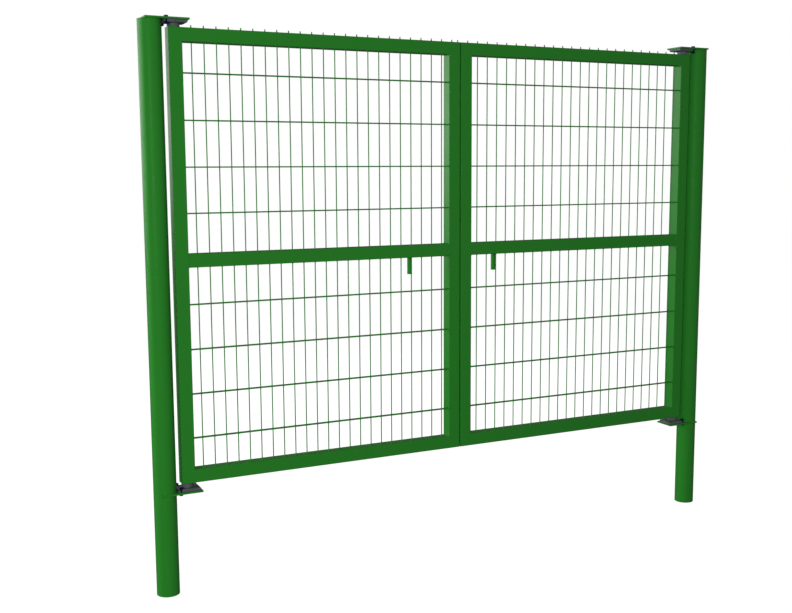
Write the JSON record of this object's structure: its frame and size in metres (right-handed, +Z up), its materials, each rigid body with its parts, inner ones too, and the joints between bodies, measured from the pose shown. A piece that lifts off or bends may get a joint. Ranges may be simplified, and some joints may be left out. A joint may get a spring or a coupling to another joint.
{
  "type": "double swing gate",
  "caption": "Double swing gate of square tube filled with welded wire mesh, two leaves hung by plate hinges between round posts.",
  "frame": {"origin": "centre of the left post's foot, seen from the front", "axes": "+X along the gate to the right post, +Y through the gate to its back, +Z up"},
  "size_m": [3.078, 0.121, 2.533],
  "materials": {
    "green_paint": "green powder coat, satin",
    "bearing_steel": "plain dark grey steel",
    "blued_bolts": "blue passivated zinc"
  },
  "bodies": {
    "posts": {"left_post": "green_paint", "left_upper_plate": "green_paint", "left_lower_plate": "green_paint", "left_upper_block": "bearing_steel", "left_lower_block": "bearing_steel", "left_hinge_bolts": "blued_bolts", "right_post": "green_paint", "right_upper_plate": "green_paint", "right_lower_plate": "green_paint", "right_upper_block": "bearing_steel", "right_lower_block": "bearing_steel", "right_hinge_bolts": "blued_bolts"},
    "left_leaf": {"left_hinge_stile": "green_paint", "left_meeting_stile": "green_paint", "left_top_rail": "green_paint", "left_mid_rail": "green_paint", "left_bottom_rail": "green_paint", "left_upper_mesh": "green_paint", "left_lower_mesh": "green_paint", "left_spikes": "green_paint", "left_grip": "green_paint", "left_upper_pivot": "bearing_steel", "left_lower_pivot": "bearing_steel"},
    "right_leaf": {"right_hinge_stile": "green_paint", "right_meeting_stile": "green_paint", "right_top_rail": "green_paint", "right_mid_rail": "green_paint", "right_bottom_rail": "green_paint", "right_upper_mesh": "green_paint", "right_lower_mesh": "green_paint", "right_spikes": "green_paint", "right_grip": "green_paint", "right_upper_pivot": "bearing_steel", "right_lower_pivot": "bearing_steel"}
  },
  "joints": [
    {"name": "left_leaf_swing", "type": "hinge", "parent": "posts", "child": "left_leaf", "pos_m": [0.102, 0, 0.469], "axis": [0, 0, 1], "range_deg": [-90, 90]},
    {"name": "right_leaf_swing", "type": "hinge", "parent": "posts", "child": "right_leaf", "pos_m": [2.874, 0, 0.469], "axis": [0, 0, -1], "range_deg": [-90, 90]}
  ]
}
